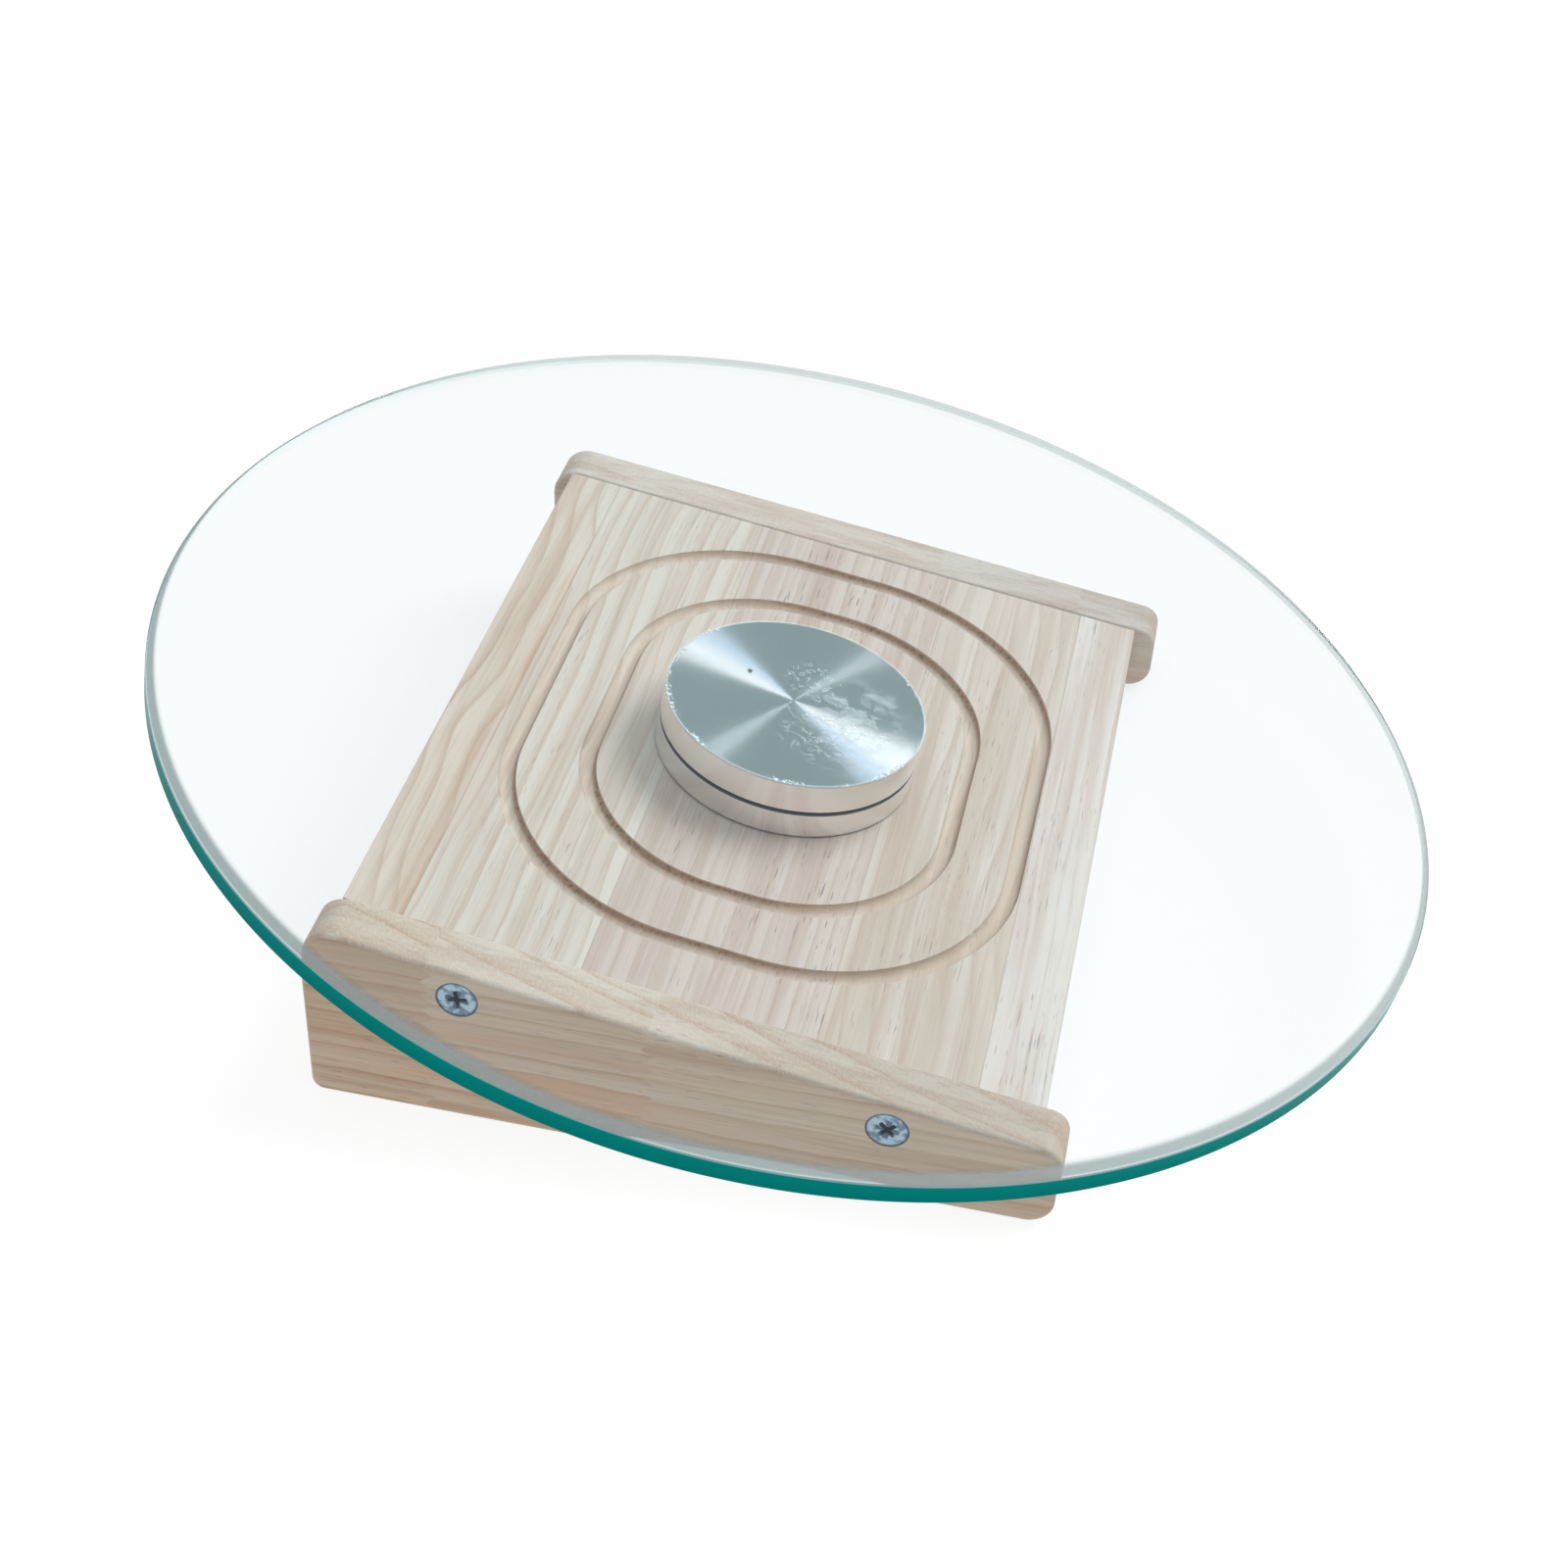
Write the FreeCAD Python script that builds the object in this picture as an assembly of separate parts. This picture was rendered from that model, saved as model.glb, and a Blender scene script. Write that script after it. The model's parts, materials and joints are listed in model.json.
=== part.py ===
import FreeCAD, Part
import math
import os

# Cake turntable: a glass disc on an aluminium swivel bearing, which stands on a sloping pine base.
# All sizes are in millimetres.  Two frames are used.
#   Deck frame: the sloping one.  Its origin is on the bearing's axis at the board's top face, +Z is the
#   bearing's axis, +X runs down the slope and +Y runs towards the far cheek.
#   Row frame: +Z up, with the origin on the table under the middle of the whole object's box.

# --- driving dimensions ---
slope_deg = 9.2
board_rise = 29.5           # board's top face above the table, on the bearing's axis
board_length = 183.0
stock_thickness = 13.0      # board and cheeks are planed from the same stock
stave_edges = (-78.4, -65.0, -25.0, 27.0, 62.0, 76.6)
base_middle = -0.9          # the base's middle along the slope, measured from the bearing's axis

cheek_length = 164.0
cheek_step = 0.5            # cheeks stand this much proud of the board
cheek_outer_round = 1.2
cheek_inner_round = 0.8
corner_rounds = {"high_top": 7.0, "high_foot": 3.0, "low_foot": 6.0, "low_top": 5.0}

ring_middle_y = 2.0
ring_outlines = ((59.7, 76.8, 50.6), (43.0, 57.1, 39.0))    # half width, half length, corner radius
ring_cutter_radius = 2.1
ring_depth = 2.0

disc_radius = 150.0
disc_thickness = 8.0
disc_bevel = 2.4
disc_arris = 1.0
glue_thickness = 0.2
glue_inset = 0.4

bearing_radius = 31.0
bearing_height = 15.2
base_plate_height = 6.8
running_gap = 0.5
plate_chamfer = 0.4
ball_radius = 2.38
ball_circle = 22.0
ball_count = 16
ball_play = 0.05
race_inner = 17.5
race_outer = 26.5
race_depth = 0.9
cage_inner = 18.3
cage_outer = 25.7
cage_thickness = 1.4
pocket_play = 0.12

spindle_radius = 4.0
spindle_foot = 0.8
spindle_top = 13.0
bush_wall = 0.95
bush_play = 0.05
recess_radius = 8.5
recess_depth = 3.2
washer_radius = 8.0
washer_thickness = 0.75
washer_play = 0.1
clip_groove_radius = 3.2
clip_radius = 6.0
clip_thickness = 0.8
clip_opening_deg = 70.0

bearing_screw_circle = 13.0
bearing_screw_radius = 2.0
bearing_screw_hole = 2.25
bearing_screw_reach = 4.8   # how far each screw enters the base plate
tapped_depth = 5.3
pan_head_radius = 4.0
pan_head_height = 2.6
screw_washer_radius = 4.5
screw_washer_thickness = 0.8

cheek_screw_spacing = 94.0
cheek_screw_depth = 6.7     # below the board's top face
cheek_screw_radius = 2.4
cheek_screw_length = 40.0
cheek_screw_sink = 0.15
head_radius = 4.6
head_rim = 0.35
recess_half = 2.3           # half the span of a cross recess
recess_slot = 1.0
recess_deep = 1.9

# --- worked out from them ---
slope = math.radians(slope_deg)
disc_foot = bearing_height + glue_thickness
edge_low = disc_foot + disc_arris
edge_high = disc_foot + disc_thickness - disc_bevel
# The disc is the widest piece, so the middle of its tilted edge is the middle of the whole box.
row_shift = -0.5 * (edge_low + edge_high) * math.sin(slope)
half_length = board_length / 2
top_plate_foot = base_plate_height + running_gap
ball_level = base_plate_height + running_gap / 2
X_AXIS = FreeCAD.Vector(1, 0, 0)
Y_AXIS = FreeCAD.Vector(0, 1, 0)
Z_AXIS = FreeCAD.Vector(0, 0, 1)
ORIGIN = FreeCAD.Vector(0, 0, 0)


def at(x, y, z):
    return FreeCAD.Vector(x, y, z)


def box(low, high):
    """A box between two corners."""
    size = high - low
    return Part.makeBox(size.x, size.y, size.z, low)


def cylinder(radius, low, high, x=0.0, y=0.0):
    """An upright cylinder from z = low to z = high."""
    return Part.makeCylinder(radius, high - low, at(x, y, low))


def ring(inner, outer, low, high, x=0.0, y=0.0):
    return cylinder(outer, low, high, x, y).cut(cylinder(inner, low - 1, high + 1, x, y))


def turned(section):
    """A lathe-turned piece from the (radius, height) points of its half section."""
    points = [at(radius, 0, height) for radius, height in section]
    face = Part.Face(Part.makePolygon(points + [points[0]]))
    return face.revolve(ORIGIN, Z_AXIS, 360)


def around(shape, count, start_deg=0.0):
    """Copies of a shape turned evenly about the deck's Z axis."""
    copies = []
    for index in range(count):
        copy = shape.copy()
        copy.rotate(ORIGIN, Z_AXIS, start_deg + index * 360.0 / count)
        copies.append(copy)
    return copies


def on_slope(shape):
    """Carry a shape from the deck frame to the row frame."""
    placed = shape.copy()
    placed.rotate(ORIGIN, Y_AXIS, slope_deg)
    placed.translate(at(row_shift, 0, board_rise))
    return placed


def export(shape, node):
    shape.exportStep("parts/" + node + ".step")


# --- pine top board: glued staves, two routed rings ---
def routed_ring(half_x, half_y, corner):
    """What a round-nosed cutter clears along a rounded rectangle, as straight runs and bends."""
    level = ring_cutter_radius - ring_depth
    across = half_x - corner
    along = half_y - corner
    nose = Part.Face(Part.Wire(Part.makeCircle(ring_cutter_radius, at(corner, 0, 0), Y_AXIS)))
    pieces = []
    for side in (-1, 1):
        pieces.append(Part.makeCylinder(ring_cutter_radius, 2 * along,
                                        at(side * half_x, ring_middle_y - along, level), Y_AXIS))
        pieces.append(Part.makeCylinder(ring_cutter_radius, 2 * across,
                                        at(-across, ring_middle_y + side * half_y, level), X_AXIS))
    for quarter in range(4):
        turn = math.radians(45 + 90 * quarter)
        centre = at(math.copysign(across, math.cos(turn)),
                    ring_middle_y + math.copysign(along, math.sin(turn)), level)
        bend = nose.revolve(ORIGIN, Z_AXIS, 90)
        bend.rotate(ORIGIN, Z_AXIS, 90 * quarter)
        bend.translate(centre)
        pieces.append(bend)
    return pieces


def top_staves():
    cutters = []
    for half_x, half_y, corner in ring_outlines:
        cutters.extend(routed_ring(half_x, half_y, corner))
    hole = cylinder(bearing_screw_hole, -stock_thickness - 1, 1, bearing_screw_circle)
    cutters.extend(around(hole, 4, 45))
    reach = half_length + stock_thickness - cheek_screw_sink - cheek_screw_length
    for end in (-1, 1):
        for side in (-1, 1):
            start = at(screw_across(side), end * (half_length + 1), -cheek_screw_depth)
            pilot = Part.makeCylinder(cheek_screw_radius, half_length + 1 - reach, start, Y_AXIS * -end)
            cutters.append(pilot)
    staves = []
    for left, right in zip(stave_edges, stave_edges[1:]):
        stave = box(at(left, -half_length, -stock_thickness), at(right, half_length, 0))
        staves.append(stave.cut(cutters))
    return staves


# --- pine cheeks: wedges with a level foot and a sloping top ---
def cheek_outline():
    """Corners of the near cheek in the row frame, in order round the wedge."""
    crown = board_rise + cheek_step / math.cos(slope)
    left = base_middle - cheek_length / 2
    right = base_middle + cheek_length / 2
    high = crown - left * math.tan(slope)
    low = crown - right * math.tan(slope)
    return {"high_top": (row_shift + left, high), "high_foot": (row_shift + left, 0.0),
            "low_foot": (row_shift + right, 0.0), "low_top": (row_shift + right, low)}


def edges_at(shape, test):
    return [edge for edge in shape.Edges if test(edge)]


def cheek(end):
    """One cheek; end is -1 for the near one and 1 for the far one."""
    inner = end * half_length
    outer = end * (half_length + stock_thickness)
    corners = cheek_outline()
    points = [at(x, inner, z) for x, z in corners.values()]
    wedge = Part.Face(Part.makePolygon(points + [points[0]])).extrude(at(0, outer - inner, 0))
    for name, (x, z) in corners.items():
        upright = edges_at(wedge, lambda e: abs(e.CenterOfMass.x - x) < 0.01 and abs(e.CenterOfMass.z - z) < 0.01)
        wedge = wedge.makeFillet(corner_rounds[name], upright)
    for y, radius in ((outer, cheek_outer_round), (inner, cheek_inner_round)):
        rim = edges_at(wedge, lambda e: abs(e.BoundBox.YMin - y) < 0.01 and abs(e.BoundBox.YMax - y) < 0.01)
        wedge = wedge.makeFillet(radius, rim)
    holes = [cheek_screw_space(side, end) for side in (-1, 1)]
    return wedge.cut(holes)


def countersunk(extra):
    """Body of a countersunk screw along -Z, head face at z = 0, grown by extra."""
    rim = head_radius + extra
    shank = cheek_screw_radius + extra
    cone = head_radius - cheek_screw_radius
    point = 3.0
    return turned([(0, 0), (rim, 0), (rim, -head_rim), (shank, -head_rim - cone),
                   (shank, point - cheek_screw_length), (0, -cheek_screw_length)])


def cross_recess(level):
    """Tapering cross cut into a screw's head whose face is at z = level."""
    arm = box(at(-recess_half, -recess_slot / 2, level - recess_deep), at(recess_half, recess_slot / 2, level + 1))
    taper = Part.makeCone(recess_slot * 0.6, recess_half * 1.45, recess_deep + 1, at(0, 0, level - recess_deep))
    other = arm.copy()
    other.rotate(ORIGIN, Z_AXIS, 90)
    return arm.fuse(other).common(taper)


def at_cheek(shape, side, end):
    """Carry a screw modelled along -Z to its place in a cheek, pointing into the board's end."""
    placed = shape.copy()
    placed.rotate(ORIGIN, X_AXIS, -90 * end)
    face = half_length + stock_thickness - cheek_screw_sink
    placed.translate(at(screw_across(side), end * face, -cheek_screw_depth))
    return on_slope(placed)


def screw_across(side):
    """Deck x of a cheek screw; side is -1 for the high end's pair and 1 for the low end's."""
    return base_middle + side * cheek_screw_spacing / 2


def cheek_screw_space(side, end):
    mouth = cylinder(head_radius + 0.1, -head_rim, 2)
    return at_cheek(countersunk(0.1).fuse(mouth), side, end)


def cheek_screws(end):
    quarter_turns = {-1: 18.0, 1: 52.0}
    screws = []
    for side in (-1, 1):
        screw = countersunk(0).cut(cross_recess(0))
        screw.rotate(ORIGIN, Z_AXIS, quarter_turns[side])
        screws.append(at_cheek(screw, side, end))
    return Part.makeCompound(screws)


# --- swivel bearing ---
def ball_track():
    return Part.makeTorus(ball_circle, ball_radius + ball_play, at(0, 0, ball_level))


def bearing_base_plate():
    rim = bearing_radius
    bore = spindle_radius + bush_play + bush_wall
    floor = base_plate_height - race_depth
    plate = turned([(bore, recess_depth), (recess_radius, recess_depth), (recess_radius, 0),
                    (rim - plate_chamfer, 0), (rim, plate_chamfer), (rim, base_plate_height - plate_chamfer),
                    (rim - plate_chamfer, base_plate_height), (race_outer, base_plate_height),
                    (race_outer, floor), (race_inner, floor), (race_inner, base_plate_height),
                    (bore, base_plate_height)])
    hole = cylinder(bearing_screw_radius, -1, tapped_depth, bearing_screw_circle)
    return plate.cut([ball_track()] + around(hole, 4, 45))


def bearing_top_plate():
    rim = bearing_radius
    ceiling = top_plate_foot + race_depth
    plate = turned([(0, spindle_top), (spindle_radius, spindle_top), (spindle_radius, top_plate_foot),
                    (race_inner, top_plate_foot), (race_inner, ceiling), (race_outer, ceiling),
                    (race_outer, top_plate_foot), (rim - plate_chamfer, top_plate_foot),
                    (rim, top_plate_foot + plate_chamfer), (rim, bearing_height - plate_chamfer),
                    (rim - plate_chamfer, bearing_height), (0, bearing_height)])
    return plate.cut(ball_track())


def bearing_balls():
    ball = Part.makeSphere(ball_radius, at(ball_circle, 0, ball_level))
    return Part.makeCompound(around(ball, ball_count))


def ball_cage():
    low = ball_level - cage_thickness / 2
    high = ball_level + cage_thickness / 2
    pocket = cylinder(ball_radius + pocket_play, low - 1, high + 1, ball_circle)
    return ring(cage_inner, cage_outer, low, high).cut(around(pocket, ball_count))


def spindle():
    clip_top = clip_seat() + clip_thickness
    lead = 0.5
    return turned([(0, spindle_foot), (spindle_radius - lead, spindle_foot),
                   (spindle_radius, spindle_foot + lead), (spindle_radius, clip_seat()),
                   (clip_groove_radius, clip_seat()), (clip_groove_radius, clip_top),
                   (spindle_radius, clip_top), (spindle_radius, spindle_top), (0, spindle_top)])


def clip_seat():
    """Height of the retaining clip's lower face."""
    return recess_depth - washer_play - washer_thickness - clip_thickness


def spindle_bush():
    return ring(spindle_radius + bush_play, spindle_radius + bush_play + bush_wall, recess_depth, base_plate_height)


def retaining_washer():
    top = recess_depth - washer_play
    return ring(spindle_radius + washer_play, washer_radius, top - washer_thickness, top)


def retaining_clip():
    clip = ring(clip_groove_radius, clip_radius, clip_seat(), clip_seat() + clip_thickness)
    half = math.radians(clip_opening_deg / 2)
    far = 2 * clip_radius
    mouth = Part.makePolygon([ORIGIN, at(far * math.cos(half), far * math.sin(half), 0),
                              at(far * math.cos(half), -far * math.sin(half), 0), ORIGIN])
    return clip.cut(Part.Face(mouth).extrude(Z_AXIS * recess_depth))


def bearing_screws():
    """Pan-head machine screws that enter the base plate from under the board."""
    seat = -stock_thickness - screw_washer_thickness
    head_foot = seat - pan_head_height
    crown = 1.0
    screw = turned([(0, head_foot), (pan_head_radius - crown, head_foot), (pan_head_radius, head_foot + crown),
                    (pan_head_radius, seat), (bearing_screw_radius, seat),
                    (bearing_screw_radius, bearing_screw_reach), (0, bearing_screw_reach)])
    recess = cross_recess(0)
    recess.rotate(ORIGIN, X_AXIS, 180)
    recess.translate(at(0, 0, head_foot))
    screw = screw.cut(recess)
    screw.translate(at(bearing_screw_circle, 0, 0))
    return Part.makeCompound(around(screw, 4, 45))


def bearing_screw_washers():
    washer = ring(bearing_screw_hole, screw_washer_radius, -stock_thickness - screw_washer_thickness,
                  -stock_thickness, bearing_screw_circle)
    return Part.makeCompound(around(washer, 4, 45))


# --- glass disc and its adhesive ---
def glass_disc():
    top = disc_foot + disc_thickness
    return turned([(0, disc_foot), (disc_radius - disc_arris, disc_foot), (disc_radius, edge_low),
                   (disc_radius, edge_high), (disc_radius - disc_bevel, top), (0, top)])


def glue_film():
    return cylinder(bearing_radius - plate_chamfer - glue_inset, bearing_height, disc_foot)


os.makedirs("parts", exist_ok=True)
for number, stave in enumerate(top_staves(), 1):
    export(on_slope(stave), "top_stave_" + str(number))
for name, end in (("near", -1), ("far", 1)):
    export(cheek(end), name + "_cheek")
    export(cheek_screws(end), name + "_cheek_screws")
for piece in (bearing_base_plate, spindle_bush, bearing_screws, bearing_screw_washers, ball_cage, bearing_balls,
              bearing_top_plate, spindle, retaining_washer, retaining_clip, glue_film, glass_disc):
    export(on_slope(piece()), piece.__name__)
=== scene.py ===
import json
import math
import random

import bmesh
import bpy
from mathutils import Matrix, Vector


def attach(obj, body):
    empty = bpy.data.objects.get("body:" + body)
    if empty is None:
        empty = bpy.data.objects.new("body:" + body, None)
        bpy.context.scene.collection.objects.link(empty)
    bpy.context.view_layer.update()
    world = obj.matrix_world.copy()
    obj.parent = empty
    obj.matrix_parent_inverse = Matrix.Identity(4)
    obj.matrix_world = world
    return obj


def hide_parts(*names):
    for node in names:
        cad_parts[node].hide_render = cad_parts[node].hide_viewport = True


# The turntable's frame, with the spin axis that every round piece is turned about.
# It leans by the slope of the base, and its foot is on the top face of the board.
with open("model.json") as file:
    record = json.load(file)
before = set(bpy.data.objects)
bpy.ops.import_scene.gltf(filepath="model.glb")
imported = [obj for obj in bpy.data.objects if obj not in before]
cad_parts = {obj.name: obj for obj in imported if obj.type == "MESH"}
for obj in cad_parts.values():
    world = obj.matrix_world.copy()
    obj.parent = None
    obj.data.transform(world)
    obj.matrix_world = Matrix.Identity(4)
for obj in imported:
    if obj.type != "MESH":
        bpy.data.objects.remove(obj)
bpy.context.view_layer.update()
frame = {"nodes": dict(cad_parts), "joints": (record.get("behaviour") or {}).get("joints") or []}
nodes = frame["nodes"]
spin = frame["joints"][0]
deck_foot = Vector(spin["pos_m"])
slope = math.atan2(spin["axis"][0], spin["axis"][2])
deck = Matrix.Translation(deck_foot) @ Matrix.Rotation(slope, 4, "Y")
MM = 0.001


# ---- Top board ----
# Five pine staves, glued edge to edge with the grain running from the near cheek to the far one.
# The board is planed, a round-nosed cutter runs two rings into it, and it is sanded but not varnished.

class Wire:
    """A socket of a material's node: + - * / and ** on it add Math nodes, and node() adds any other."""

    def __init__(self, tree, socket=None):
        self.tree, self.socket = tree, socket

    def node(self, kind, settings=None, sockets=None, out=0):
        made = self.tree.nodes.new("ShaderNode" + kind)
        for name, value in (settings or {}).items():
            if name == "stops":
                while len(made.color_ramp.elements) < len(value):
                    made.color_ramp.elements.new(0.5)
                for stop, (place, colour) in zip(made.color_ramp.elements, value):
                    stop.position, stop.color = place, (*colour, 1)
            else:
                setattr(made, name, value)
        for name, value in (sockets or {}).items():
            if isinstance(value, Wire):
                self.tree.links.new(value.socket, made.inputs[name])
            elif isinstance(value, (tuple, list)) and made.inputs[name].type == "RGBA":
                made.inputs[name].default_value = (*value[:3], 1)
            else:
                made.inputs[name].default_value = value
        return Wire(self.tree, made.outputs[out])

    def math(self, operation, first, second=0.0):
        return self.node("Math", {"operation": operation}, {0: first, 1: second})

    def __add__(self, other): return self.math("ADD", self, other)
    def __radd__(self, other): return self.math("ADD", other, self)
    def __sub__(self, other): return self.math("SUBTRACT", self, other)
    def __rsub__(self, other): return self.math("SUBTRACT", other, self)
    def __mul__(self, other): return self.math("MULTIPLY", self, other)
    def __rmul__(self, other): return self.math("MULTIPLY", other, self)
    def __truediv__(self, other): return self.math("DIVIDE", self, other)
    def __rtruediv__(self, other): return self.math("DIVIDE", other, self)
    def __pow__(self, other): return self.math("POWER", self, other)
    def __abs__(self): return self.math("ABSOLUTE", self)

    def ramp(self, low, high):
        """0 below low, 1 above high and smooth between them; low may be the larger."""
        if low > high:
            return 1 - self.ramp(high, low)
        return self.node("MapRange", {"interpolation_type": "SMOOTHSTEP"}, {0: self, 1: low, 2: high})

    def mix(self, first, second, share, how="MIX"):
        return self.node("Mix", {"data_type": "RGBA", "blend_type": how}, {0: share, 6: first, 7: second}, 2)

    def parts(self):
        split = self.node("SeparateXYZ", {}, {0: self}).socket.node
        return [Wire(self.tree, socket) for socket in split.outputs]

    def join(self, x, y, z):
        return self.node("CombineXYZ", {}, {0: x, 1: y, 2: z})

    def noise(self, place, scale, detail=2.0, rough=0.5):
        """Noise about 0.5 at a place, with its own scale along each axis."""
        stretched = self.node("VectorMath", {"operation": "MULTIPLY"}, {0: place, 1: scale})
        return self.node("TexNoise", {}, {"Vector": stretched, "Scale": 1.0, "Detail": detail,
                                          "Roughness": rough})


def new_material(name):
    """An empty material: its wire to build on, and its output node's surface input."""
    material = bpy.data.materials.new(name)
    material.use_nodes = True
    material.node_tree.nodes.clear()
    output = material.node_tree.nodes.new("ShaderNodeOutputMaterial")
    return material, Wire(material.node_tree), output.inputs["Surface"]


def deck_place(wire, on_deck=True):
    """Place in millimetres, from the deck's origin along and across its slope, or in the piece's frame."""
    place = wire.node("TexCoord", out="Object")
    if on_deck:
        turn = {"Location": deck_foot, "Rotation": (0, slope, 0)}
        place = wire.node("Mapping", {"vector_type": "TEXTURE"}, {0: place, **turn})
    return wire.node("VectorMath", {"operation": "SCALE"}, {0: place, "Scale": 1 / MM})


band_brown = (0.46, 0.36, 0.285)
thread_brown = (0.44, 0.34, 0.265)
fibre_brown = (0.42, 0.33, 0.26)
fibre_pale = (0.82, 0.77, 0.71)
pore_black = (0.22, 0.18, 0.18)
end_dark, end_pale = (0.50, 0.34, 0.22), (0.62, 0.46, 0.32)


def pine(wire, length, across, depth, faces_end, look):
    """Colour, roughness and bump height of planed pine whose grain runs along length."""
    shift = look["seed"] * 37.0
    grain = wire.join(length + shift, across + shift, depth)
    drift = (wire.noise(grain, (0.011, 0.012, 0.012), 1.0) - 0.5) * look["wander"]
    waver = (wire.noise(grain, (0.03, 0.11, 0.11), 2.0) - 0.5) * look["waver"]
    pith_across, pith_depth = look["pith"]
    from_pith = wire.math("SQRT", (across - pith_across + drift) ** 2 + (depth - pith_depth + drift) ** 2)
    ring = (from_pith + waver) / look["ring"]
    uneven = wire.noise(wire.join(ring, shift, 0.0), (0.45, 1, 1), 1.0)
    phase = wire.math("FRACT", ring + uneven * 1.6)
    broken = wire.noise(grain, (0.02, 0.35, 0.35), 3.0, 0.6)
    late = phase ** 4.0 * phase.ramp(1.0, 0.90) * (0.45 + 1.1 * broken)
    patch = wire.noise(grain, (0.006, 0.05, 0.05), 2.0)
    fibre = wire.noise(grain, (0.045, 2.4, 2.4), 4.0, 0.65)
    streak = wire.noise(grain, (0.006, 0.11, 0.11), 3.0, 0.5)
    blush = wire.noise(wire.join(length - shift, across, depth), (0.004, 0.085, 0.085), 2.0)
    early = wire.mix(look["pale"], look["blush"], blush.ramp(0.38, 0.66))
    early = wire.mix(early, look["streak"], streak.ramp(0.46, 0.70) * 0.75)
    line = late * (0.25 + 1.15 * patch) * look["line"]
    colour = wire.mix(early, look["late"], wire.math("MINIMUM", line, 1.0))
    band = wire.noise(grain, (0.005, 0.24, 0.24), 2.0)
    colour = wire.mix(colour, band_brown, band.ramp(0.50, 0.68) * 0.50)
    thread = wire.noise(grain, (0.022, 0.85, 0.85), 4.0, 0.6)
    colour = wire.mix(colour, thread_brown, thread.ramp(0.52, 0.70) * look["thread"] * 1.2)
    colour = wire.mix(colour, fibre_brown, fibre.ramp(0.53, 0.72) * 0.34)
    colour = wire.mix(colour, fibre_pale, fibre.ramp(0.47, 0.28) * 0.22)
    pore = wire.noise(grain, (0.13, 2.0, 2.0), 1.0)
    where = wire.noise(grain, (0.012, 0.045, 0.045), 1.0)
    dash = pore.ramp(0.655, 0.70) * where.ramp(0.46, 0.58)
    colour = wire.mix(colour, pore_black, dash * look["dash"])
    speckle = wire.noise(wire.join(length, across, depth), (2.2, 2.2, 2.2), 3.0)
    end_tone = wire.mix(end_dark, end_pale, speckle)
    colour = wire.mix(colour, end_tone, faces_end.ramp(0.25, 0.95) * 0.55)
    rough = 0.50 + 0.16 * fibre - 0.06 * late
    height = fibre * 0.5 + late * 0.25 - dash * 0.8
    return colour, rough, height


def wood_shader(wire, colour, rough, height):
    bump = wire.node("Bump", {}, {"Strength": 0.22, "Distance": 0.00025, "Height": height})
    return wire.node("BsdfPrincipled", {}, {"Base Color": colour, "Roughness": rough, "Normal": bump,
                                             "Specular IOR Level": 0.35})


stave_looks = {
    "top_stave_1": dict(seed=1, pith=(-118.0, -34.0), ring=4.6, line=1.15, dash=0.25, wander=15.0, waver=1.8,
                        thread=0.32, pale=(0.655, 0.622, 0.535), blush=(0.645, 0.565, 0.480),
                        streak=(0.535, 0.412, 0.322), late=(0.445, 0.310, 0.225)),
    "top_stave_2": dict(seed=2, pith=(-190.0, -60.0), ring=4.2, line=1.10, dash=0.45, wander=10.0, waver=1.4,
                        thread=0.34, pale=(0.648, 0.622, 0.550), blush=(0.628, 0.568, 0.492),
                        streak=(0.530, 0.435, 0.360), late=(0.485, 0.372, 0.280)),
    "top_stave_3": dict(seed=3, pith=(160.0, -90.0), ring=3.7, line=1.05, dash=0.85, wander=9.0, waver=1.2,
                        thread=0.42, pale=(0.598, 0.533, 0.480), blush=(0.582, 0.496, 0.447),
                        streak=(0.471, 0.364, 0.316), late=(0.453, 0.346, 0.279)),
    "top_stave_4": dict(seed=4, pith=(190.0, 90.0), ring=5.2, line=1.05, dash=0.50, wander=12.0, waver=1.6,
                        thread=0.38, pale=(0.618, 0.572, 0.508), blush=(0.590, 0.508, 0.434),
                        streak=(0.493, 0.415, 0.334), late=(0.466, 0.377, 0.295)),
    "top_stave_5": dict(seed=5, pith=(150.0, -130.0), ring=4.4, line=0.78, dash=0.55, wander=9.0, waver=1.2,
                        thread=0.36, pale=(0.690, 0.678, 0.640), blush=(0.650, 0.590, 0.540),
                        streak=(0.516, 0.410, 0.344), late=(0.489, 0.391, 0.326)),
}
joint_edges = (-78.4, -65.0, -25.0, 27.0, 62.0, 76.6)
ring_lip, ring_bed = -0.12, -0.7        # the cutter's work starts just under the face
groove_brown = (0.56, 0.42, 0.33)
wall_shade_brown = (0.34, 0.185, 0.10)
wall_shade_black = (0.13, 0.08, 0.06)
resin_brown = (0.48, 0.30, 0.18)
glue_brown = (0.30, 0.21, 0.15)

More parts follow.
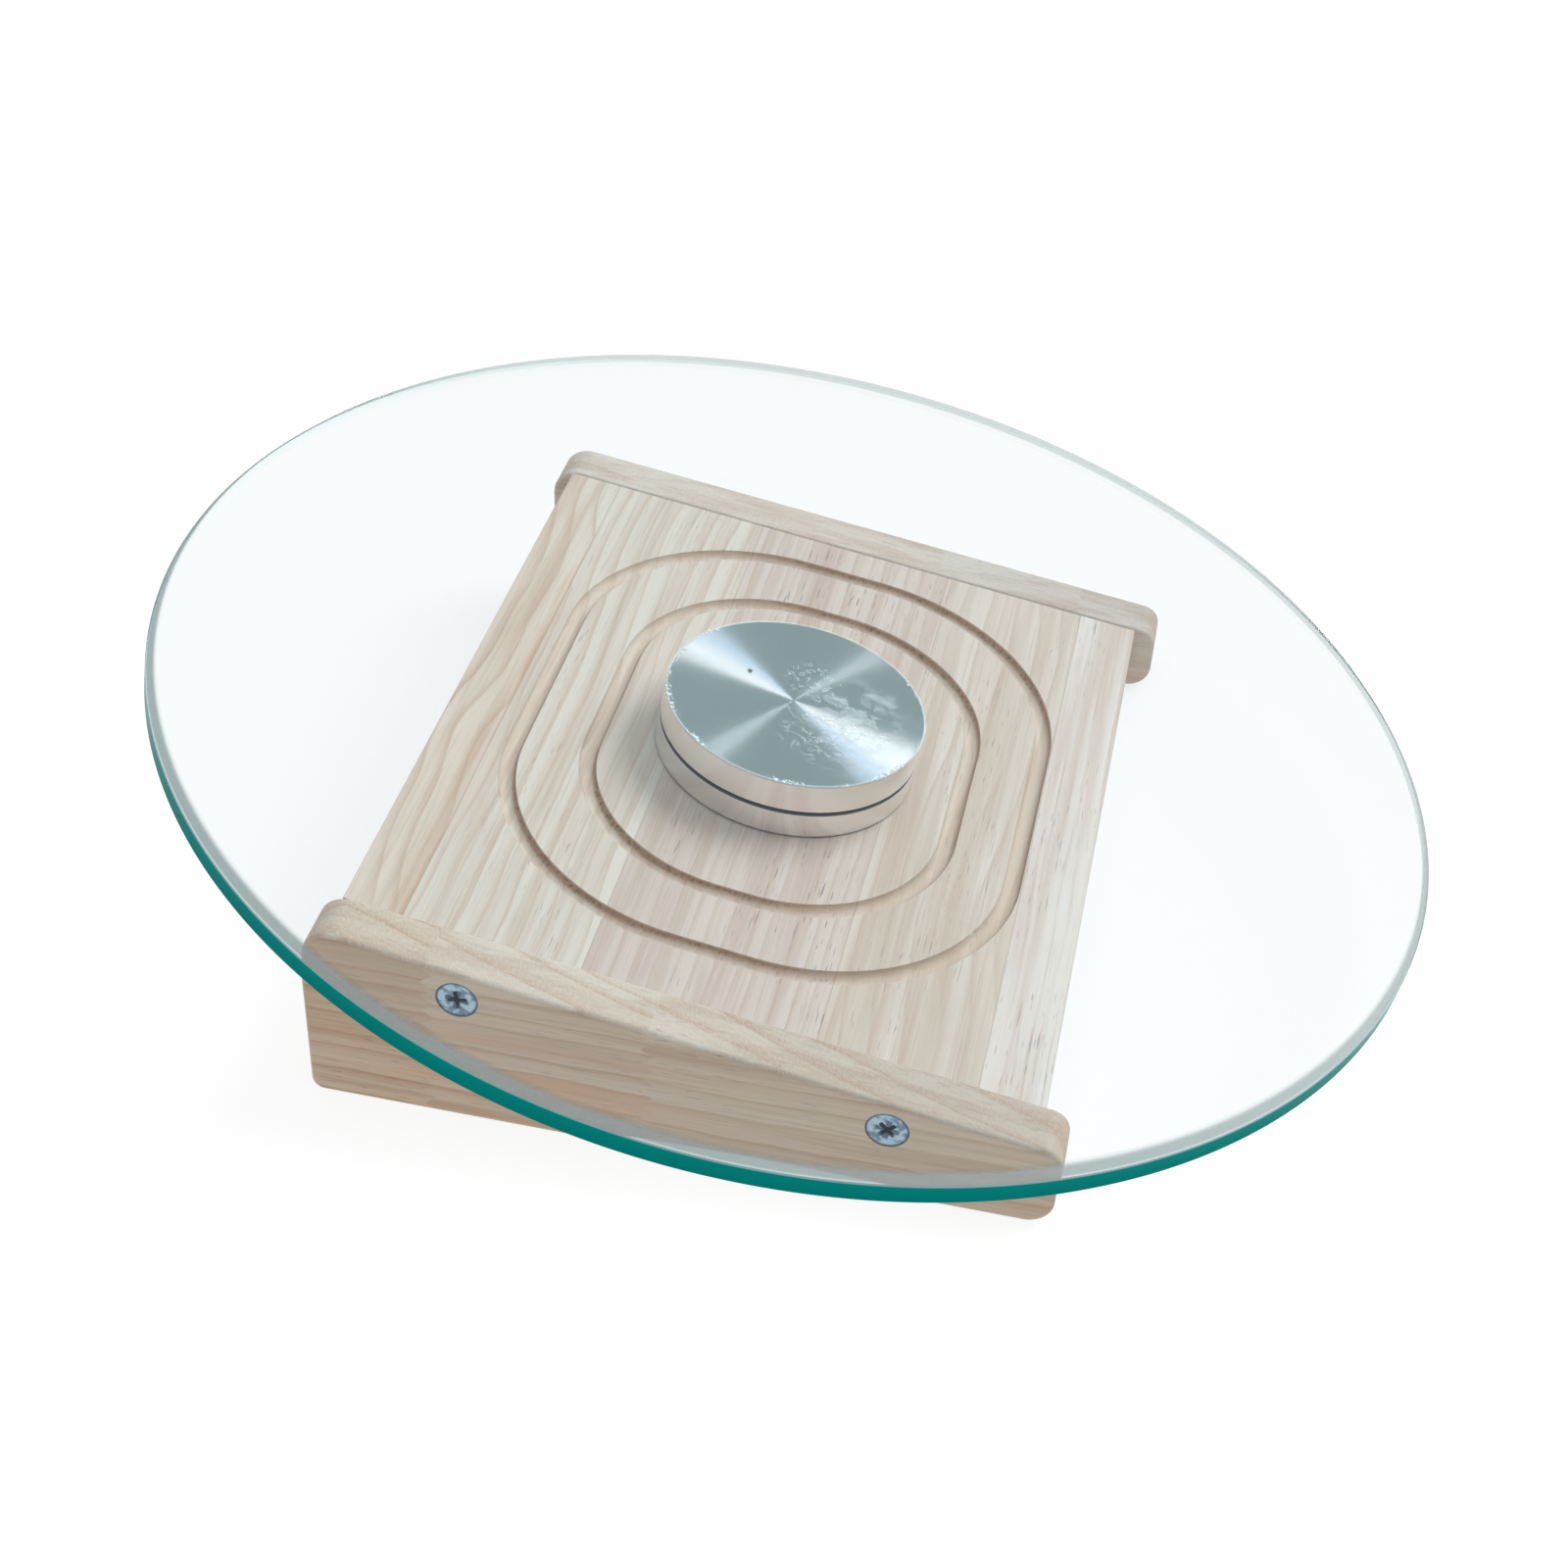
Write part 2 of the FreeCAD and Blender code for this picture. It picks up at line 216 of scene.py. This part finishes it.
for number, (node, look) in enumerate(stave_looks.items()):
    material, wire, surface = new_material("pine_" + node)
    x, y, z = deck_place(wire).parts()
    normal_x, normal_y, _ = wire.node("NewGeometry", out="Normal").parts()
    faces_end = abs(normal_y)
    colour, rough, height = pine(wire, y, x, z, faces_end, look)
    routed = z.ramp(ring_lip, ring_bed)
    torn = wire.noise(wire.join(x, y, z), (0.9, 0.9, 0.9), 4.0, 0.7)
    # Painted shade: the groove walls that face away from the key light, behind to the right, are darkened,
    # patchy where the fibres are torn and darkest on walls that cut across the grain.
    shaded_wall = ((normal_x + normal_y) * -0.707).ramp(0.28, 0.70) * routed
    # The grooves are tinted browner all over.
    colour = wire.mix(colour, groove_brown, routed * 0.28)
    colour = wire.mix(colour, wall_shade_brown, shaded_wall * (0.50 + 0.6 * torn))
    deepest_wall_shade = shaded_wall * faces_end.ramp(0.1, 0.4) * torn.ramp(0.47, 0.62)
    colour = wire.mix(colour, wall_shade_black, deepest_wall_shade * 0.7)
    if node == "top_stave_1":
        pocket = wire.noise(wire.join(x, y, z), (0.25, 0.015, 1), 3.0).ramp(0.40, 0.60)
        resin = x.ramp(joint_edges[1] - 4.5, joint_edges[1] - 0.4) * pocket
        colour = wire.mix(colour, resin_brown, resin * 0.75)
    seam = wire.math("MINIMUM", abs(x - joint_edges[number]), abs(x - joint_edges[number + 1]))
    colour = wire.mix(colour, glue_brown, seam.ramp(0.20, 0.04) * 0.45)
    shader = wood_shader(wire, colour, rough + routed * 0.15, height + torn * routed)
    wire.tree.links.new(shader.socket, surface)
    nodes[node].data.materials.clear()
    nodes[node].data.materials.append(material)


# ---- Cheeks ----
# Two wedges sawn from finger-jointed pine of the board's thickness, with the grain along their level feet.
# Their sloping top edges and ends are rounded over, and they are screwed to the ends of the board.
cheek_looks = {
    "near_cheek": dict(seed=11, pith=(-60.0, -22.0), ring=3.8, line=1.25, dash=0.5, wander=11.0, waver=2.0,
                       thread=0.42, pale=(0.620, 0.570, 0.500), blush=(0.606, 0.532, 0.462),
                       streak=(0.513, 0.410, 0.333), late=(0.446, 0.301, 0.202)),
    "far_cheek": dict(seed=12, pith=(40.0, -70.0), ring=4.0, line=0.62, dash=0.30, wander=12.0, waver=2.0,
                      thread=0.36, pale=(0.648, 0.645, 0.610), blush=(0.630, 0.605, 0.560),
                      streak=(0.541, 0.475, 0.414), late=(0.475, 0.398, 0.333)),
}
block_ends = {"near_cheek": (-58.0, -10.0), "far_cheek": (21.0, 56.0)}
block_tones = ((0.88, 0.76, 0.62), (0.97, 0.91, 0.85), (0.95, 0.86, 0.80))
finger_pitch = 4.0
finger_reach = 3.0
heartwood = (0.62, 0.35, 0.19)
sawn_fuzz = (0.76, 0.70, 0.65)

for node, look in cheek_looks.items():
    material, wire, surface = new_material("pine_" + node)
    x, y, z = deck_place(wire, on_deck=False).parts()
    normal_x, normal_y, _ = wire.node("NewGeometry", out="Normal").parts()
    saw = wire.node("Math", {"operation": "PINGPONG"}, {0: z, 1: finger_pitch / 2})
    zigzag = x + (saw - finger_pitch / 4) * (2 * finger_reach / finger_pitch)
    first, second = [zigzag.ramp(end - 0.1, end + 0.1) for end in block_ends[node]]
    block = first + second
    block_x, block_y, block_z = x + block * 83.0, y + block * 7.0, z - block * 2.0
    colour, rough, height = pine(wire, block_x, block_y, block_z, abs(normal_x), look)
    tone = wire.mix(wire.mix(block_tones[0], block_tones[1], first), block_tones[2], second)
    colour = wire.mix(colour, wire.mix(colour, tone, 0.8, "MULTIPLY"), 0.55)
    heart = wire.noise(wire.join(x, y, z), (0.006, 0.02, 0.16), 3.0).ramp(0.44, 0.60) * z.ramp(30.0, 8.0)
    colour = wire.mix(colour, heartwood, heart * x.ramp(20.0, -50.0) * 0.62)
    # Painted shade: the broad sideways faces are darker and warmer than the top and ends, which take the top
    # light.
    shaded_side = abs(normal_y).ramp(0.88, 0.97)
    colour = wire.mix(colour, wire.mix(colour, (0.97, 0.90, 0.81), 1.0, "MULTIPLY"), shaded_side)
    sawn = wire.noise(wire.join(x + y * 0.6, y * 0.5, 0.0), (2.2, 1.8, 1.0), 3.0, 0.7).ramp(0.42, 0.68)
    colour = wire.mix(colour, sawn_fuzz, sawn * (1 - shaded_side) * 0.34)
    # The top and ends darken towards the right-hand end, towards +x.
    darker_to_right = x.ramp(-25.0, 55.0) * (1 - shaded_side)
    colour = wire.mix(colour, wire.mix(colour, (0.82, 0.81, 0.80), 1.0, "MULTIPLY"), darker_to_right)
    shader = wood_shader(wire, colour, rough, height)
    wire.tree.links.new(shader.socket, surface)
    nodes[node].data.materials.clear()
    nodes[node].data.materials.append(material)


# ---- Screws ----
# Zinc-plated steel: two countersunk wood screws in each cheek, and four pan-head machine screws with washers
# that hold the bearing from under the board. The plating is scratched in places, and painted shade darkens
# the recesses and round the heads.
zinc_pale = (0.34, 0.47, 0.55)
zinc_deep = (0.06, 0.11, 0.17)
steel_bare = (0.50, 0.54, 0.58)
zinc_shade = (0.03, 0.06, 0.11)
board_middle = -0.9                         # up and down the slope
screw_reach = 47.0                          # from there to each cheek screw
screw_level = -6.7
head_face, recess_floor = 104.25, 103.7     # out from the middle of the board
pan_foot, pan_crown = -16.1, -13.95


def zinc(name, sunk):
    """Plating for one kind of screw. From a wire and a place, sunk says how deep a point lies, and so how
    much painted shade it gets.
    """
    material, wire, surface = new_material(name)
    place = deck_place(wire)
    cloud = wire.noise(place, (0.42, 0.42, 0.42), 3.0)
    scratch = wire.noise(place, (5.0, 0.9, 5.0), 3.0, 0.7)
    deep = sunk(wire, place)
    colour = wire.mix(zinc_pale, zinc_deep, cloud.ramp(0.46, 0.61) * 0.80)
    colour = wire.mix(colour, steel_bare, scratch.ramp(0.56, 0.70) * 0.5)
    # Painted shade where sunk says a point lies deep.
    colour = wire.mix(colour, zinc_shade, deep)
    bump = wire.node("Bump", {}, {"Strength": 0.3, "Distance": 0.0001, "Height": scratch})
    shader = wire.node("BsdfPrincipled", {}, {"Base Color": colour, "Metallic": 1.0, "Normal": bump,
                                               "Roughness": 0.24 + 0.22 * scratch + 0.2 * deep})
    wire.tree.links.new(shader.socket, surface)
    return material


def below_cheek_face(wire, place):
    """Painted shade: on the recess's floor, along the lines of the cross near its middle, and as a dark line
    round the head.
    """
    x, y, z = place.parts()
    along = abs(abs(x - board_middle) - screw_reach)
    upward = abs(z - screw_level)
    from_axis = wire.math("SQRT", along ** 2 + upward ** 2)
    # Painted shade that widens the lines of the cross near its middle.
    cross_shade = wire.math("MINIMUM", along, upward).ramp(0.85, 0.45) * from_axis.ramp(2.9, 2.3) * 0.8
    recess = wire.math("MAXIMUM", abs(y).ramp(head_face, recess_floor), cross_shade)
    return wire.math("MAXIMUM", recess, from_axis.ramp(3.9, 4.5) * 0.85)


def above_pan_crown(wire, place):
    z = place.parts()[2]
    # Painted shade on the pan heads, from 0.9 mm above their foot up to the crown.
    return z.ramp(pan_foot, pan_foot + 0.9) * z.ramp(pan_crown + 0.05, pan_crown - 0.05)


cheek_zinc = zinc("zinc_cheek_screws", below_cheek_face)
pan_zinc = zinc("zinc_bearing_screws", above_pan_crown)
for node, material in (("near_cheek_screws", cheek_zinc), ("far_cheek_screws", cheek_zinc),
                       ("bearing_screws", pan_zinc), ("bearing_screw_washers", pan_zinc)):
    nodes[node].data.materials.clear()
    nodes[node].data.materials.append(material)


# ---- Bearing plates ----
# Two aluminium discs turned on a lathe, with a ball race between them and painted shade in the gap at the
# edge.
# The tool leaves fine rings on the faces, which stretch every highlight into a bright fan.
aluminium = (0.93, 0.915, 0.90)
face_reflection_tint = (0.540, 0.722, 0.728)
gap_shade_black = (0.012, 0.012, 0.014)
tool_grey = (0.55, 0.58, 0.60)
gap_foot, gap_top = 6.5, 7.6


def turned_aluminium(name, face_tinted):
    material, wire, surface = new_material(name)
    place = deck_place(wire)
    x, y, z = place.parts()
    radius = wire.math("SQRT", x ** 2 + y ** 2)
    up = wire.node("VectorMath", {"operation": "DOT_PRODUCT"},
                   {0: wire.node("NewGeometry", out="Normal"), 1: tuple(spin["axis"])}, "Value")
    flat = abs(up).ramp(0.8, 0.95)
    ringed = wire.noise(wire.join(radius, 0.0, z), (3.2, 1, 5.0), 5.0, 0.75)
    coarse = wire.noise(wire.join(radius, 3.0, z), (0.35, 1, 0.5), 2.0)
    # Painted reflection: the top plate's top face is darkened and tinted teal for the dim teal surroundings
    # it mirrors through the glass.
    colour = wire.mix(aluminium, face_reflection_tint, flat * face_tinted)
    colour = wire.mix(colour, tool_grey, ringed.ramp(0.52, 0.75) * 0.3)
    # Painted shade in the running gap between the plates and along the base plate's foot on the board.
    in_gap = z.ramp(gap_foot - 0.12, gap_foot + 0.12) * z.ramp(gap_top + 0.12, gap_top - 0.12)
    gap_and_foot_shade = wire.math("MAXIMUM", in_gap, z.ramp(0.65, 0.25))
    colour = wire.mix(colour, gap_shade_black, gap_and_foot_shade * 0.95)
    bump = wire.node("Bump", {}, {"Strength": 0.12, "Distance": 0.00004, "Height": ringed + coarse * 0.6})
    shader = wire.node("BsdfPrincipled", {}, {"Base Color": colour, "Metallic": 1.0, "Normal": bump,
                                               "Roughness": 0.14 + 0.09 * flat + 0.06 * ringed,
                                               "Anisotropic": 1.0, "Anisotropic Rotation": 0.25})
    wire.tree.links.new(shader.socket, surface)
    return material


for node, face_tinted in (("bearing_base_plate", 0.0), ("bearing_top_plate", 1.0)):
    nodes[node].data.materials.clear()
    nodes[node].data.materials.append(turned_aluminium("turned_" + node, face_tinted))


# ---- Inside the bearing ----
# Hardened balls in a moulded nylon cage run between the plates. A ground steel spindle turns in a sintered
# bronze bush, and a washer and a sprung clip on its foot keep the plates together.
inner_looks = {
    "bearing_balls": dict(colour=(0.58, 0.59, 0.60), worn=(0.45, 0.46, 0.47),
                          metal=1.0, rough=0.10, grit=0.7, dent=0.05),
    "ball_cage": dict(colour=(0.80, 0.78, 0.70), worn=(0.70, 0.66, 0.55),
                      metal=0.0, rough=0.42, grit=1.6, dent=0.25),
    "spindle": dict(colour=(0.52, 0.53, 0.54), worn=(0.36, 0.36, 0.37),
                    metal=1.0, rough=0.24, grit=2.5, dent=0.15),
    "spindle_bush": dict(colour=(0.62, 0.43, 0.22), worn=(0.40, 0.25, 0.12),
                         metal=1.0, rough=0.42, grit=4.0, dent=0.5),
    "retaining_washer": dict(colour=(0.55, 0.56, 0.57), worn=(0.38, 0.38, 0.39),
                             metal=1.0, rough=0.30, grit=2.0, dent=0.2),
    "retaining_clip": dict(colour=(0.30, 0.30, 0.31), worn=(0.17, 0.16, 0.15),
                           metal=1.0, rough=0.38, grit=2.0, dent=0.3),
}

for node, look in inner_looks.items():
    material, wire, surface = new_material("finish_" + node)
    grit = wire.noise(deck_place(wire), (look["grit"],) * 3, 4.0, 0.65)
    colour = wire.mix(look["colour"], look["worn"], grit.ramp(0.48, 0.72))
    bump = wire.node("Bump", {}, {"Strength": look["dent"], "Distance": 0.00008, "Height": grit})
    shader = wire.node("BsdfPrincipled", {}, {"Base Color": colour, "Metallic": look["metal"], "Normal": bump,
                                               "Roughness": look["rough"] + 0.2 * (grit - 0.5)})
    wire.tree.links.new(shader.socket, surface)
    nodes[node].data.materials.clear()
    nodes[node].data.materials.append(material)


# ---- Adhesive ----
# Clear adhesive, squeezed to a thin film when the glass is pressed down on the bearing.
# It has trapped bubbles and smears, and its rim has set as an uneven bead with pale chips.
film_foot = 15.21
film_top = 15.39
film_radius = 31.05
bubbles_at, few_bubbles_at = (2.0, 9.5), (9.0, -13.0)
smears_at, wisps_at = (14.0, 1.0), (12.0, -7.0)
pit_at = (-12.7, 6.5)
adhesive_clear = (0.86, 0.94, 0.97)
pit_dark = (0.10, 0.13, 0.14)
dice = random.Random(4)
waves = [(count, dice.uniform(0, 6.28), dice.uniform(0.3, 1.0) / count ** 0.6)
         for count in (3, 5, 9, 17, 31, 53)]


def film_edge(turn):
    """Radius of the film's rim at a turn."""
    ripple = sum(size * math.sin(count * turn + start) for count, start, size in waves)
    return film_radius + 0.14 * ripple


def spun_mesh(name, section, sides, radius_at=None):
    """A mesh turned about the deck's axis from (radius, height, finish) points in millimetres; finish numbers
    the material of the band that starts at that point."""
    shape = bmesh.new()
    rows = []
    for radius, height, _ in section:
        if radius == 0:
            rows.append([shape.verts.new((0, 0, height * MM))])
            continue
        row = []
        for step in range(sides):
            turn = 2 * math.pi * step / sides
            reach = radius_at(radius, turn) if radius_at else radius
            point = (reach * MM * math.cos(turn), reach * MM * math.sin(turn), height * MM)
            row.append(shape.verts.new(point))
        rows.append(row)
    for (low, high), (_, _, finish) in zip(zip(rows, rows[1:]), section):
        for step in range(sides):
            after = (step + 1) % sides
            corners = [low[step % len(low)], low[after % len(low)],
                       high[after % len(high)], high[step % len(high)]]
            face = shape.faces.new(list(dict.fromkeys(corners)))
            face.material_index = finish
            face.smooth = True
    bmesh.ops.recalc_face_normals(shape, faces=shape.faces)
    mesh = bpy.data.meshes.new(name)
    shape.to_mesh(mesh)
    shape.free()
    mesh.set_sharp_from_angle(angle=math.radians(15))
    piece = bpy.data.objects.new(name, mesh)
    bpy.context.scene.collection.objects.link(piece)
    piece.matrix_world = deck
    return piece


film_section = [(0, film_foot, 0), (10, film_foot, 0), (20, film_foot, 0), (30.3, film_foot, 0),
                (30.8, film_foot, 0), (film_radius, 15.28, 0), (30.95, 15.36, 0), (30.4, film_top, 0),
                (20, film_top, 0), (10, film_top, 0), (0, film_top, 0)]
film = spun_mesh("glue_film_bead", film_section, 360,
                 lambda radius, turn: film_edge(turn) + radius - film_radius if radius > 30.5 else radius)

material, wire, surface = new_material("clear_adhesive")
x, y, z = deck_place(wire, on_deck=False).parts()
place = wire.join(x, y, 0.0)


def near(centre, inner, outer):
    """1 within inner of a centre on the film, and 0 beyond outer."""
    return wire.math("SQRT", (x - centre[0]) ** 2 + (y - centre[1]) ** 2).ramp(outer, inner)


bent = wire.join(x + wire.noise(place, (0.5, 0.5, 1), 1.0) * 2.2, y, 0.0)
cell = wire.node("TexVoronoi", {"voronoi_dimensions": "2D"}, {"Vector": bent, "Scale": 0.62}, "Distance")
bubble_wall = cell.ramp(0.24, 0.29) * cell.ramp(0.36, 0.31)
few = wire.noise(place, (0.62, 0.62, 1), 1.0).ramp(0.47, 0.54)
bubbles = bubble_wall * few * (near(bubbles_at, 4.0, 9.0) + near(few_bubbles_at, 2.0, 8.0) * 0.8)
haze = wire.noise(place, (0.11, 0.16, 1), 4.0, 0.6)
wisp = abs(wire.noise(place, (0.11, 0.19, 1), 3.0, 0.6) - 0.5).ramp(0.028, 0.006)
smears = haze.ramp(0.44, 0.70) * near(smears_at, 6.0, 17.0) + wisp * near(wisps_at, 10.0, 18.0) * 0.55
radius = wire.math("SQRT", x ** 2 + y ** 2)
clotted = wire.noise(place, (0.07, 0.07, 1), 2.0).ramp(0.46, 0.56)
chips = wire.noise(place, (0.95, 0.95, 1), 3.0, 0.7).ramp(0.52, 0.57) * radius.ramp(29.4, 30.3) * clotted
pit = near(pit_at, 0.4, 0.75)
milky = 0.02 + bubbles * 0.6 + smears * 0.34 + chips * 0.85 + radius.ramp(30.2, 31.0) * 0.22
shown = wire.math("MINIMUM", milky, 0.92)
colour = wire.mix(adhesive_clear, pit_dark, pit)
uneven = bubble_wall * few + haze * 0.6 + chips
bump = wire.node("Bump", {}, {"Strength": 0.3, "Distance": 0.0002, "Height": uneven})
shader = wire.node("BsdfPrincipled", {}, {"Base Color": colour, "Roughness": 0.36 + 0.16 * haze,
                                           "Normal": bump, "Specular IOR Level": 0.3,
                                           "Alpha": wire.math("MAXIMUM", shown, pit * 0.9)})
wire.tree.links.new(shader.socket, surface)
film.data.materials.append(material)
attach(film, "turntable")
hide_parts("glue_film")


# ---- Glass plate ----
# A round plate of toughened float glass, 8 mm thick, ground to a flat edge with a wide bevel above it.
# The faces are polished and all but colourless; along the edge the iron in the glass shows teal.
plate_foot = 15.4
plate_top = 23.4
plate_radius = 150.0
bevel = 2.4
arris = 1.0
soft = 0.12                             # the grinder leaves each corner this round
CLEAR, BEVEL, EDGE = 0, 1, 2
plate_section = [
    (0, plate_foot, CLEAR), (40, plate_foot, CLEAR), (110, plate_foot, CLEAR),
    (plate_radius - arris - soft, plate_foot, EDGE), (plate_radius - arris + soft, plate_foot + soft, EDGE),
    (plate_radius - soft, plate_foot + arris - soft, EDGE), (plate_radius, plate_foot + arris + soft, EDGE),
    (plate_radius, plate_top - bevel - soft, EDGE), (plate_radius - soft, plate_top - bevel + soft, BEVEL),
    (plate_radius - bevel + soft, plate_top - soft, BEVEL), (plate_radius - bevel - soft, plate_top, CLEAR),
    (110, plate_top, CLEAR), (40, plate_top, CLEAR), (0, plate_top, CLEAR)]
plate = spun_mesh("glass_plate", plate_section, 720)


def through(wire, glass, tint):
    """Glass as it is seen, but plainly see-through to lamps and to light that comes off another surface."""
    straight = wire.node("BsdfTransparent", {}, {"Color": tint})
    for ray in ("Is Reflection Ray", "Is Shadow Ray"):
        glass = wire.node("MixShader", {}, {0: wire.node("LightPath", out=ray), 1: glass, 2: straight})
    return glass


face_glass, wire, surface = new_material("glass_faces")
breath = wire.noise(deck_place(wire, on_deck=False), (0.02, 0.02, 0.02), 3.0)
faint = wire.mix((0.962, 0.987, 0.997), (0.968, 0.989, 0.999), breath)
clear = wire.node("BsdfPrincipled", {}, {"Base Color": faint, "Roughness": 0.0, "IOR": 1.52,
                                          "Transmission Weight": 1.0})
wire.tree.links.new(through(wire, clear, (0.955, 0.975, 0.975)).socket, surface)

bevel_glass, wire, surface = new_material("glass_bevel")
x, y, z = deck_place(wire, on_deck=False).parts()
ground = wire.noise(wire.join(x, y, z), (0.8, 0.8, 0.8), 3.0)
# Painted highlight: a pale line along the foot of the bevel, where it meets the edge.
ridge_highlight = z.ramp(plate_top - bevel + 0.5, plate_top - bevel + 0.15)
bevel_tint_and_highlight = wire.mix((0.09, 0.185, 0.180), (0.11, 0.215, 0.210), ground)
bevel_tint_and_highlight = wire.mix(bevel_tint_and_highlight, (0.50, 0.70, 0.72), ridge_highlight)
cut_in = z.ramp(plate_top - 0.05, plate_top - 1.0)
bevel_tint_and_highlight = wire.mix((0.80, 0.88, 0.88), bevel_tint_and_highlight, cut_in)
level = wire.node("VectorMath", {"operation": "NORMALIZE"}, {0: tuple(spin["axis"])})
tinted = wire.node("BsdfPrincipled", {}, {"Base Color": bevel_tint_and_highlight, "Roughness": 0.02 + 0.02 * ground,
                                           "IOR": 1.52, "Normal": level, "Transmission Weight": 1.0})
dusty = wire.mix((0.47, 0.50, 0.505), (0.53, 0.56, 0.565), ground)
matt = wire.node("BsdfPrincipled", {}, {"Base Color": dusty, "Roughness": 0.35, "IOR": 1.2})
tinted = wire.node("MixShader", {}, {0: 0.58 * cut_in - 0.30 * ridge_highlight, 1: tinted, 2: matt})
wire.tree.links.new(through(wire, tinted, (0.85, 0.93, 0.93)).socket, surface)

edge_glass, wire, surface = new_material("glass_edge")
x, y, z = deck_place(wire, on_deck=False).parts()
wheel = wire.noise(wire.join(x * 0.2, y * 0.2, z), (1.0, 1.0, 2.5), 3.0)
upward = z.ramp(plate_foot, plate_top - bevel)
teal = wire.mix((0.0, 0.172, 0.155), (0.0, 0.268, 0.245), upward * 0.5 + wheel * 0.5)
# Painted highlight: the top of the edge pales where it meets the bevel.
teal = wire.mix(teal, (0.30, 0.45, 0.46), z.ramp(plate_top - bevel - 0.5, plate_top - bevel - 0.15))
bump = wire.node("Bump", {}, {"Strength": 0.08, "Distance": 0.0001, "Height": wheel})
rim = wire.node("BsdfPrincipled", {}, {"Base Color": teal, "Roughness": 0.16 + 0.08 * wheel, "IOR": 1.04,
                                        "Normal": bump})
slanted = wire.node("LayerWeight", {}, {"Blend": 0.5}, "Facing").ramp(0.45, 0.85)
sea_green = wire.mix((0.80, 0.88, 0.88), (0.13, 0.27, 0.25), slanted)
inside = wire.node("BsdfPrincipled", {}, {"Base Color": sea_green, "Roughness": 0.3, "IOR": 1.1,
                                           "Transmission Weight": 0.5})
seen = wire.node("MixShader", {}, {0: wire.node("LightPath", out="Is Transmission Ray"), 1: rim, 2: inside})
wire.tree.links.new(seen.socket, surface)

for material in (face_glass, bevel_glass, edge_glass):
    plate.data.materials.append(material)
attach(plate, "turntable")
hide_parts("glass_disc")


# ---- Table, light and camera ----
# A pale matt table that glows a little, a wide softbox overhead and one behind to the right for the wood, and
# pale surroundings. Four small lamps, which only the metal mirrors, draw the bright fan on the bearing.
table_mesh = bpy.data.meshes.new("table")
shape = bmesh.new()
bmesh.ops.create_grid(shape, x_segments=8, y_segments=8, size=6.0)
shape.to_mesh(table_mesh)
shape.free()
table = bpy.data.objects.new("table", table_mesh)
bpy.context.scene.collection.objects.link(table)
material, wire, surface = new_material("matt_table")
mottle = wire.noise(wire.node("TexCoord", out="Object"), (3.0, 3.0, 3.0), 2.0)
grey = wire.mix((0.20, 0.20, 0.20), (0.21, 0.21, 0.21), mottle)
shader = wire.node("BsdfPrincipled", {}, {"Base Color": grey, "Roughness": 0.9, "Specular IOR Level": 0.1,
                                           "Emission Color": (1.0, 1.0, 1.0), "Emission Strength": 0.83})
wire.tree.links.new(shader.socket, surface)
table_mesh.materials.append(material)

studio = bpy.data.worlds.new("studio")
bpy.context.scene.world = studio
studio.use_nodes = True
studio.node_tree.nodes["Background"].inputs["Color"].default_value = (0.93, 0.97, 1.0, 1)
studio.node_tree.nodes["Background"].inputs["Strength"].default_value = 0.45


def softbox(name, centre, width, watts, colour, lights):
    """A square lamp aimed at the bearing, which lights either the matt surfaces or the glossy ones."""
    lamp = bpy.data.lights.new(name, "AREA")
    lamp.size = width
    lamp.energy, lamp.color = watts, colour
    holder = bpy.data.objects.new(name, lamp)
    holder.location = centre
    holder.rotation_euler = (Vector((0, 0, 0.05)) - Vector(centre)).to_track_quat("-Z", "Y").to_euler()
    holder.visible_diffuse = lights == "wood"
    holder.visible_glossy = lights == "metal"
    bpy.context.scene.collection.objects.link(holder)


softbox("overhead", (0.0, -0.15, 1.5), 1.1, 7.0, (1.0, 0.985, 0.965), "wood")
softbox("key", (1.347, 1.052, 1.59), 1.40, 49.0, (1.0, 0.98, 0.96), "wood")
softbox("fan_low", (0.994, 1.64, 1.314), 0.15, 9.4, (1.0, 0.72, 0.73), "metal")
softbox("fan_middle", (0.927, 1.504, 1.518), 0.15, 9.9, (1.0, 0.73, 0.76), "metal")
softbox("fan_blue", (0.852, 1.342, 1.707), 0.12, 5.6, (0.87, 0.77, 1.0), "metal")
softbox("streak", (-0.267, 0.933, 2.13), 0.08, 3.8, (1.0, 0.76, 0.82), "metal")

camera_spot = Vector((0.0813, -0.4714, 0.3867))
camera_down = 39.525
camera_turn = 14.677
lens = bpy.data.cameras.new("camera")
lens.sensor_width = 36.0
lens.lens = 57.109
lens.shift_x = 0.1036
lens.shift_y = 0.0633
lens.clip_start = 0.01
camera = bpy.data.objects.new("camera", lens)
camera.location = camera_spot
camera.rotation_euler = (math.radians(90 - camera_down), 0, math.radians(camera_turn))
bpy.context.scene.collection.objects.link(camera)
bpy.context.scene.camera = camera
bpy.context.scene.view_settings.view_transform = "Standard"
